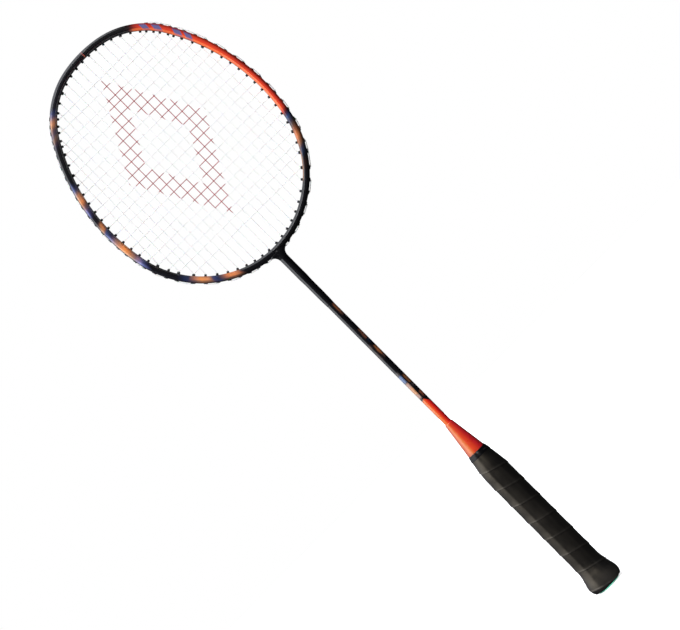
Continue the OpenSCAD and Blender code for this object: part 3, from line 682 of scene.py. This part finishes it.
def head_frame():
    rings, run, across = [], [], []
    for s in np.linspace(-HALF_RUN, HALF_RUN, RING_STEPS + 1)[:-1]:
        a = angle_at_run(abs(s))
        cx, cz = curve_point(a, 0)
        side = 1 if s >= 0 else -1
        # the groove deepens over two degrees
        t = unit((a - (GROOVE_FROM - 1.6)) / 2.0)
        section = frame_section(0.02 + (GROOVE - 0.02) * t * t * (3 - 2 * t))
        rings.append([(side * (cx + cosd(a) * u), y, cz + sind(a) * u) for u, y in section])
        run += [s] * len(section)
        across += [u for u, _ in section]
    ring_v, ring_f = skin(rings, closed_path=True)
    # neck: a loft from the shaft up into the ring, round below and boxier above
    table = [(NECK_LOW + z, *size) for z, *size in NECK] + [(HEAD_BOTTOM - z, *size) for z, *size in THROAT]
    zs, *sizes = zip(*table)
    throat_low = HEAD_BOTTOM - THROAT[0][0]
    fine = np.unique(np.concatenate([
        zs, np.linspace(NECK_LOW, throat_low, 30), np.linspace(throat_low, HEAD_BOTTOM, 40)]))
    neck = []
    for z, w, d, p in zip(fine, *(np.interp(fine, zs, column) for column in sizes)):
        # its top follows the curve of the ring
        curve = unit((z - HEAD_BOTTOM + 8) / 5) / (2 * (RADII[0] + HALF_FACE))
        neck.append([(w * math.copysign(abs(c) ** (2 / p), c), d * math.copysign(abs(q) ** (2 / p), q),
                      z + (w * c) ** 2 * curve) for c, q in circle(NECK_SIDES)])
    neck_v, neck_f = skin(neck, offset=len(ring_v))
    run += [0.5] * len(neck_v)
    across += [0.0] * len(neck_v)
    add_mesh("head_frame_painted", "head_frame", "frame_paint", PAINT,
             np.vstack([ring_v, neck_v]), ring_f + neck_f, {"run": run, "across": across})


# ---------------------------------------------------------------- shaft and cone
SHAFT_BORE_R, CONE_BORE_R, CONE_WALL = 2.35, 3.6, 1.3


def shaft():
    (_, _, lo), (r, _, hi) = box("shaft")
    zs = np.linspace(lo, hi, 60)
    profile = [(r, z) for z in zs] + [(SHAFT_BORE_R, z) for z in zs[::-1]]
    add_mesh("shaft_painted", "shaft", "shaft_paint", SHAFT_PAINT, *lathe(profile, 56))


def cone_cap():
    (_, _, lo), (_, _, hi) = box("cone_cap")
    outer = [(cone_radius(z), z) for z in np.linspace(lo, hi - 3.2, 26)]
    lip = [(cone_radius(hi - 2.6) + 0.02, 2.6), (4.52, 1.8), (4.42, 1.1), (4.30, 0.5), (4.10, 0.14),
           (3.86, 0.02), (3.70, 0.1), (CONE_BORE_R, 0.35), (CONE_BORE_R, 6)]
    bore = [(cone_radius(z) - CONE_WALL, z) for z in (hi - 9, lo)]
    profile = outer + [(r, hi - down) for r, down in lip] + bore
    add_mesh("cone_cap_moulded", "cone_cap", "cone_plastic", CONE, *lathe(profile, 96))


# ---------------------------------------------------------------- handle
GRIP_W, GRIP_D, STRIP = 26.0, 24.4, 1.1
GRIP_TOP = box("grip_wrap")[1][2]
# the strip starts at the front and winds clockwise seen from above
SPIN, FRONT = -1, -math.pi / 2
# extra width at the butt, and how much of it there is at each height
GROWTH = 7.9
FLARE = [(0.9, 0.22), (1.8, 0.50), (3.6, 0.80), (5.4, 0.93), (7.2, 1.0), (8.6, 0.97), (10.8, 0.9),
         (13.0, 0.8), (14.4, 0.66), (16.0, 0.5), (18.0, 0.4), (21.6, 0.16), (25.0, 0.05), (29.0, 0.0)]
# half width of the handle where it narrows towards the cone
TAPER = [(143, 13.0), (147, 12.85), (151, 12.5), (155, 12.15), (160, 11.5), (164, 10.8), (167.2, 10.15),
         (170, 9.6)]


def smooth_table(table, z):
    xs, ys = zip(*table)
    return float(np.mean(np.interp(np.linspace(z - 1.2, z + 1.2, 7), xs, ys)))


def handle_size(z):
    """Full width and depth of the wrapped handle, and how round its section is, at a height."""
    if z > TAPER[0][0]:
        half = smooth_table(TAPER, z)
        return 2 * half, 2 * min(half, GRIP_D / 2), min((z - TAPER[0][0]) / 17, 1)
    # the rim of the butt cap shows through the strip as a soft bead
    grow = GROWTH * smooth_table(FLARE, z) + 0.6 * math.exp(-((z - 17.2) / 1.7) ** 2)
    return GRIP_W + grow, GRIP_D + grow, 0.7 * unit((23 - z) / 12)


def octagon_outline(w, d):
    """Angles and radii round an octagon with rounded corners."""
    cut = 0.27 * d
    x, y = w / 2, d / 2
    corners = [(x, -y + cut), (x, y - cut), (x - cut, y), (-x + cut, y),
               (-x, y - cut), (-x, -y + cut), (-x + cut, -y), (x - cut, -y)]
    pts = np.array(round_outline(corners, [2.3] * 8, steps=6))
    ang, rad = np.unwrap(np.arctan2(pts[:, 1], pts[:, 0])), np.hypot(pts[:, 0], pts[:, 1])
    order = np.argsort(ang)
    ang, rad = ang[order], rad[order]
    return np.concatenate([ang - 2 * math.pi, ang, ang + 2 * math.pi]), np.tile(rad, 3)


SECTIONS = {}


def handle_radius(a, z):
    """Radius of the wrapped handle in a direction, at a height; sections are kept every 0.25 mm."""
    key = round(z * 4)
    if key not in SECTIONS:
        w, d, roundness = handle_size(key / 4)
        SECTIONS[key] = (*octagon_outline(w, d), w, d, roundness)
    ang, rad, w, d, roundness = SECTIONS[key]
    a = (a + math.pi) % (2 * math.pi) - math.pi
    oval = w * d / 2 / math.hypot(d * math.cos(a), w * math.sin(a))
    return (1 - roundness) * float(np.interp(a, ang, rad)) + roundness * oval


def grip_wrap():
    """One long strip wound round the handle; each turn laps over the one below it."""
    pitch, lap, around = 20.6, 4.6, 80
    width = pitch + lap
    bottom = 1.9
    first = bottom - width - 14.5
    steps = int(((GRIP_TOP - first) / pitch + 0.4) * around)
    # places across the strip, as shares of its width, closer together near its edges
    shares = [0.0, 0.006, 0.02, 0.045, 0.08, 0.13, 0.19, 0.26, 0.34, 0.42, 0.5, 0.58, 0.66, 0.74, 0.82,
              0.9, 0.955, 1.0]
    rings, strip = [], []
    for k in range(steps + 1):
        a = 2 * math.pi * k / around
        way = FRONT + SPIN * a
        wave = 0.5 * (0.35 * math.sin(a * 0.73 + 1.3) + 0.2 * math.sin(a * 2.1 + 0.4))
        ring = []
        for q, top_side in [(q, True) for q in shares] + [(q, False) for q in reversed(shares)]:
            z = first + pitch * k / around + q * width + (wave if q < 0.1 else 0)
            # the lapping edge rides up on the turn below
            r = handle_radius(way, min(max(z, 0.9), GRIP_TOP)) - STRIP - 0.30
            r += 0.62 * (1 - min(q * width / (lap + 3.5), 1)) ** 1.3
            if top_side:
                # thinner at both edges and a little fuller in the middle
                r += STRIP - 0.42 * (1 - min(q / 0.02, 1)) ** 2 - 0.35 * max(0, (q - 0.86) / 0.14)
                r += 0.12 * math.sin(math.pi * unit((q - 0.1) / 0.8))
            ring.append((r * math.cos(way), r * math.sin(way), z))
            strip.append(q)
        rings.append(ring)
    obj = add_mesh("grip_strip_wound", "grip_wrap", "grip_strip", GRIP, *skin(rings), {"strip": strip})
    # both ends are cut level
    bm = bmesh.new()
    bm.from_mesh(obj.data)
    for z, up in ((bottom, -1), (GRIP_TOP, 1)):
        geom = bm.verts[:] + bm.edges[:] + bm.faces[:]
        bmesh.ops.bisect_plane(bm, geom=geom, plane_co=(0, 0, z * MM), plane_no=(0, 0, up), clear_outer=True)
        bmesh.ops.holes_fill(bm, edges=[e for e in bm.edges if e.is_boundary], sides=0)
    bm.to_mesh(obj.data)
    bm.free()
    obj.data.polygons.foreach_set("use_smooth", [True] * len(obj.data.polygons))


def finishing_tape():
    (_, _, lo), (_, _, hi) = box("grip_finishing_tape")
    segments, start = 120, 2.2

    def grip(up, over):
        return smooth_table(TAPER, lo + up) + over

    def cone(up, over):
        return cone_radius(lo + up) + over

    full = hi - lo
    rings = []
    for k in range(segments + 1):
        # two laps, whose free end shows as a small step at the back
        a = 2 * math.pi * k / segments
        step = 0.1 * k / segments
        wave = 0.05 * math.sin(3 * a + 0.5)
        outer = [
            (grip(0, 0.02), wave), (grip(0, 0.13), 0.12 + wave), (grip(1, 0.16), 1.0), (grip(2, 0.16), 2.0),
            (grip(2.6, 0.10), 2.7), (cone(3.4, 0.62), 3.4), (cone(4.2, 0.44), 4.2),
            (cone(full - 0.3, 0.32), full - 0.35 + wave), (cone(full, 0.22), full + wave * 0.5)]
        inner = [(cone(full, 0.05), full - 0.05), (cone(2.7, 0.05), 2.7), (grip(2.4, -0.5), 2.4),
                 (grip(0, -0.5), 0.02)]
        c, s = math.cos(start + a), math.sin(start + a)
        profile = [(r + step, up) for r, up in outer] + inner
        rings.append([(r * c, r * s, lo + up) for r, up in profile])
    add_mesh("finishing_tape_band", "grip_finishing_tape", "finishing_tape", TAPE, *skin(rings))


def butt_cap():
    """Octagonal cup under the grip; only its rim round the badge shows."""
    (_, _, lo), (_, _, hi) = box("butt_cap")
    gap, wall, count = 0.42, 1.0, 80
    profile = [(lo, 3.4), (lo + 0.05, 2.2), (lo + 0.3, 1.2), (lo + 0.9, 0.45), (lo + 1.8, 0.1)]
    profile += [(z, 0.0) for z in np.linspace(lo + 3, hi, 14)]
    profile += [(z, wall) for z in np.linspace(hi, lo + 3, 8)]
    rings = []
    for z, inset in profile:
        ring = []
        for k in range(count):
            a = 2 * math.pi * k / count
            r = handle_radius(a, max(z, 1.2)) - STRIP - gap - inset
            ring.append((r * math.cos(a), r * math.sin(a), z))
        rings.append(ring)
    add_mesh("butt_cap_cup", "butt_cap", "butt_plastic", BUTT, *skin(rings))


def butt_badge():
    """Domed disc with a fine sunk ring and a fine raised one."""
    r, _, hi = box("butt_badge")[1]
    face, segments = 0.02, 96
    profile = []
    for q in np.linspace(0.04, 0.92, 40):
        ring = -0.02 if 0.56 < q < 0.62 else 0.10 if 0.74 < q < 0.80 else 0.0
        profile.append((q * r, face + 0.16 * q ** 4 + ring))
    profile += [(0.95 * r, 0.16), (0.98 * r, 0.26), (0.995 * r, 0.45), (r, 0.8), (r, hi)]
    verts, faces = skin([[(q * c, q * s, z) for c, s in circle(segments)] for q, z in profile], caps=False)
    for z, start in ((face, 0), (hi, len(verts) - segments)):
        faces += [(len(verts), start + k, start + (k + 1) % segments) for k in range(segments)]
        verts = np.vstack([verts, (0, 0, z)])
    add_mesh("butt_badge_domed", "butt_badge", "badge_plastic", BADGE, verts, faces)


# ---------------------------------------------------------------- grommets
# outer and bore radius of the two sizes
SINGLE, SHARED = (1.25, 0.62), (1.55, 0.84)
BOTH, LEFT, RIGHT = (-1, 1), (-1,), (1,)


def grommet(h, side, ro, rb, deep):
    """Tube with a moulded flange outside the ring; deep is how far the flange reaches into it."""
    flange, inner, outer, top = ro + 0.6, h["inner"], h["outer"] - deep, h["outer"] + h["rise"]
    profile = round_outline(
        [(rb, 0.12), (ro - 0.22, 0.12), (ro, inner - 0.25), (ro + 0.1, inner), (ro, inner + 0.4),
         (ro, outer), (flange, outer), (flange, top), (rb, top)],
        [0.14, 0.26, 0, 0, 0, 0, 0, min(0.32, h["rise"] * 0.7), 0.3])
    c, s = cosd(h["dir"]), sind(h["dir"])
    return skin([[(side * (h["x"] + c * t - s * r * x), r * y, h["z"] + s * t + c * r * x)
                  for r, t in profile] for x, y in circle(20)], closed_path=True)


def grommet_group(name, node, holes, sides, size, deep=0.25):
    parts = [grommet(h, side, *size, deep) for side in sides for h in holes]
    add_mesh(name, node, "grommet_plastic", GROMMET, *merge(parts))


def grommets():
    taken = [*TOP_SHARED.values(), *BOTTOM_SHARED.values()]
    side_holes = [cross_end(j) for j in range(1, CROSSES + 1) if j not in taken]
    top = [main_top(i) for i in range(1, 10) if i != TIE_OFF]
    for name, node, holes, sides, size, *deep in (
            ("top", "top_main", top, BOTH, SINGLE),
            ("tie_off", "tie_off", [main_top(TIE_OFF)], BOTH, SHARED),
            ("top_shared", "top_shared", [main_top(i) for i in TOP_SHARED], BOTH, SHARED),
            ("left", "left_side", side_holes, LEFT, SINGLE),
            ("right", "right_side", side_holes, RIGHT, SINGLE),
            ("throat", "throat", [main_bottom(i) for i in range(2, 9)], BOTH, SINGLE, 0.7),
            ("neck", "neck", [main_bottom(1)], BOTH, SINGLE, 1.0),
            ("throat_shared", "throat_shared", [main_bottom(i) for i in BOTTOM_SHARED], BOTH, SHARED)):
        grommet_group("grommets_" + name, node + "_grommets", holes, sides, size, *deep)


# ---------------------------------------------------------------- strings
# how far strings leave the middle plane where they cross, and the length over which this starts
WEAVE, WEAVE_FADE = 0.37, 4
CROSS_AT = [cross_end(j)["z"] for j in range(1, CROSSES + 1)]
MAIN_ENDS = {i: [(h["x"], h["z"]) for h in (main_top(i), main_bottom(i))] for i in range(1, MAINS + 1)}


def outside(h):
    """Where a string turns outside the frame, over the flange of a grommet."""
    gap = 0.12 if h["grooved"] else (0.5 if h["dir"] > 15 else 0.15)
    t = h["outer"] + h["rise"] + STRING_R + gap
    return h["x"] + t * cosd(h["dir"]), h["z"] + t * sind(h["dir"])


def mirrored(index):
    """Number and side of a main from its signed index, which is 0 and below on the left."""
    return (index, 1) if index > 0 else (1 - index, -1)


def main_x_at(index, z):
    i, side = mirrored(index)
    (x0, z0), (x1, z1) = MAIN_ENDS[i]
    return side * (x0 + (x1 - x0) * (z - z0) / (z1 - z0))


def weave_main(index, z):
    """Front-to-back place of a main at a height."""
    phase = np.interp(-z, [-c for c in CROSS_AT], range(1, CROSSES + 1))
    fade = unit((z - CROSS_AT[-1]) / WEAVE_FADE + 1) * unit((CROSS_AT[0] - z) / WEAVE_FADE + 1)
    return WEAVE * (-1) ** index * math.cos(math.pi * phase) * fade


def weave_cross(j, x, reach):
    """Front-to-back place of a cross at x; reach is half its length."""
    indices = range(-MAINS + 1, MAINS + 1)
    phase = np.interp(x, [main_x_at(i, CROSS_AT[j - 1]) for i in indices], indices)
    return -WEAVE * (-1) ** j * math.cos(math.pi * phase) * unit((reach - abs(x)) / WEAVE_FADE)


def main_line(i, side):
    """One main from outside the ring at its start to outside the ring at its end."""
    index = i if side > 0 else 1 - i
    (_, z0), (_, z1) = MAIN_ENDS[i]
    zs = np.linspace(z0, z1, int((z0 - z1) / 1.1) + 1)
    line = [(main_x_at(index, z), weave_main(index, z), z) for z in zs]
    (ax, az), (bx, bz) = outside(main_top(i)), outside(main_bottom(i))
    line = [(side * ax, 0.0, az)] + line + [(side * bx, 0.0, bz)]
    return line if i % 2 else line[::-1]


def cross_line(j):
    """One cross from loop to loop; every second one runs the other way."""
    h = cross_end(j)
    reach, (out_x, out_z) = h["x"], outside(h)
    xs = np.linspace(-reach, reach, int(2 * reach) + 1)
    line = [(x, weave_cross(j, x, reach), h["z"]) for x in xs]
    line = [(-out_x, 0.0, out_z)] + line + [(out_x, 0.0, out_z)]
    return line if j % 2 else line[::-1]


def string_path(parts):
    """One path through all the parts, with rounded turns and no step longer than 1.6 mm."""
    points = [p for part in parts for p in part]
    keep = [points[0]]
    for p in points[1:]:
        if math.dist(p, keep[-1]) > 1e-4:
            keep.append(p)
    path = round_path(keep, 0.75, 3)
    out = [path[0]]
    for p in path[1:]:
        a = out[-1]
        n = max(1, math.ceil(np.linalg.norm(p - a) / 1.6))
        out += [a + (p - a) * k / n for k in range(1, n + 1)]
    return out


def strings():
    right, left = ([main_line(i, side) for i in range(1, MAINS + 1)] for side in (1, -1))
    path = string_path([line[::-1] for line in left[::-1]] + right)
    add_mesh("main_string_woven", "main_string", "string", STRING, *tube(path, STRING_R), weighted=False)
    # the cross string starts with a knot at the left tie-off hole and runs outside to the first cross
    tie = main_top(TIE_OFF)
    c, s = cosd(tie["dir"]), sind(tie["dir"])
    start = [(-(tie["x"] - 0.9 * c), -0.2, tie["z"] - 0.9 * s), (-tie["x"], -0.2, tie["z"])]
    start += [(-x, -0.15, z) for x, z in (outside(main_top(TIE_OFF + k)) for k in range(3))]
    path = string_path([start] + [cross_line(j) for j in range(1, CROSSES + 1)])
    # a tight overhand turn of string
    knot_x, knot_z, knot_r = -(tie["x"] - 1.35 * c), tie["z"] - 1.35 * s, 0.62 * 1.25
    knot = []
    for k in range(72):
        t = 2 * math.pi * k / 71
        r = knot_r * (0.62 + 0.38 * math.cos(1.5 * t))
        knot.append((knot_x + r * math.cos(t), -0.35 + 0.42 * math.sin(1.5 * t), knot_z + r * math.sin(t)))
    add_mesh("cross_string_woven", "cross_string", "string", STRING,
             *merge([tube(path, STRING_R), tube(knot, 0.30)]), weighted=False)


def hidden_pieces():
    """The hidden nodes keep their CAD shape and get their own materials."""
    for node, material in (
            ("t_joint_insert", ALLOY), ("shaft_end_plug", FOAM), ("handle_core", WOOD),
            ("butt_cap_staples", STEEL), ("grip_start_tack", STEEL), ("grip_adhesive_tape", PAPER)):
        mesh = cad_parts[node].data
        mesh.materials.clear()
        mesh.materials.append(material)


head_frame()
shaft()
cone_cap()
grip_wrap()
finishing_tape()
butt_cap()
butt_badge()
grommets()
strings()
hidden_pieces()


# ---------------------------------------------------------------- floor, light and camera
def floor():
    m = Shade("pale_floor")
    seen = m.make("LightPath", {}, "Is Camera Ray")
    pale = m.mix(m.noise(3, 3), "f4f4f5", "fafafa")
    radius, sides, z = 4, 64, -0.0003
    mesh = bpy.data.meshes.new("floor_disc")
    mesh.from_pydata([(radius * c, radius * s, z) for c, s in circle(sides)], [], [tuple(range(sides))])
    # pale to the eye, but it throws no light up at the racket
    mesh.materials.append(m.done(
        Base_Color=m.mix(seen, "202020", pale), Roughness=0.85,
        Emission_Color="ffffff", Emission_Strength=m.mul(seen, 0.75)))
    obj = bpy.data.objects.new("floor_disc", mesh)
    bpy.context.scene.collection.objects.link(obj)


def area(name, place, target, size, power, kind, spread=180):
    data = bpy.data.lights.new(name, "AREA")
    data.shape = "RECTANGLE"
    data.size, data.size_y = size
    data.energy = power
    data.spread = math.radians(spread)
    obj = bpy.data.objects.new(name, data)
    bpy.context.scene.collection.objects.link(obj)
    obj.location = place
    obj.rotation_euler = (Vector(target) - Vector(place)).to_track_quat("-Z", "Y").to_euler()
    obj.visible_camera = False
    obj.visible_glossy = kind == "glossy"
    obj.visible_diffuse = kind == "diffuse"


MIDDLE = Vector((0.0, 0.0, TOP * MM / 2))


def studio():
    """Soft light from the front, and a bright side of the room, up and left, that the gloss mirrors."""
    area("key_light", MIDDLE + Vector((-0.79, -2.11, 0.79)), MIDDLE, (0.9, 0.9), 40, "diffuse")
    area("low_light", (-0.5, -2.4, 0.08), (0.0, 0.0, 0.08), (0.8, 0.1), 10, "diffuse")
    area("rim_light", (-0.04, -0.32, 0.003), (0.0, 0.0, 0.001), (0.06, 0.008), 0.01, "diffuse", 12)
    area("upper_gloss", MIDDLE + Vector((-0.3, -2.0, 1.25)), MIDDLE, (0.7, 0.7), 12, "glossy")
    world = bpy.data.worlds.new("studio")
    bpy.context.scene.world = world
    world.use_nodes = True
    t = Nodes(world.node_tree)
    view = t.make("TexCoord", {}, "Generated")

    def toward(way, *limits):
        dot = t.make("VectorMath", {0: view, 1: Vector(way).normalized()}, "Value", operation="DOT_PRODUCT")
        return t.ramp(dot, *limits)

    side = t.mul(toward((-1, 0, 1), 0.25, 0.55), toward((0, 1, 0), -0.68, -0.5))
    level = t.calc("MULTIPLY_ADD", side, toward((0, 1, 0), -0.4, 0.8, 2.9, 0.6), 0.02)
    glow = t.make("Background", {0: (0.92, 0.945, 1.0, 1), 1: level})
    backdrop = t.make("Background", {0: (1, 1, 1, 1), 1: 1.0})
    seen = t.make("LightPath", {}, "Is Camera Ray")
    t.make("OutputWorld", {0: t.make("MixShader", {0: seen, 1: glow, 2: backdrop})})


def camera():
    """Straight-on front view, rolled so that the racket lies on the picture's diagonal."""
    distance, width, pixels = 2.4, 0.6118, 680
    right, up = Vector((0.708, 0, -0.706)).normalized(), Vector((0.706, 0, 0.708)).normalized()
    back = right.cross(up)
    target = MIDDLE + (up * 3.8 - right * 4.8) * width / pixels
    data = bpy.data.cameras.new("front_camera")
    data.sensor_fit = "HORIZONTAL"
    data.angle = 2 * math.atan(width / 2 / distance)
    data.clip_start, data.clip_end = 0.05, 20
    obj = bpy.data.objects.new("front_camera", data)
    bpy.context.scene.collection.objects.link(obj)
    turn = Matrix((right, up, back)).transposed().to_4x4()
    obj.matrix_world = Matrix.Translation(target + back * distance) @ turn
    bpy.context.scene.camera = obj


floor()
studio()
camera()
bpy.context.scene.view_settings.view_transform = "Standard"
bpy.context.view_layer.update()
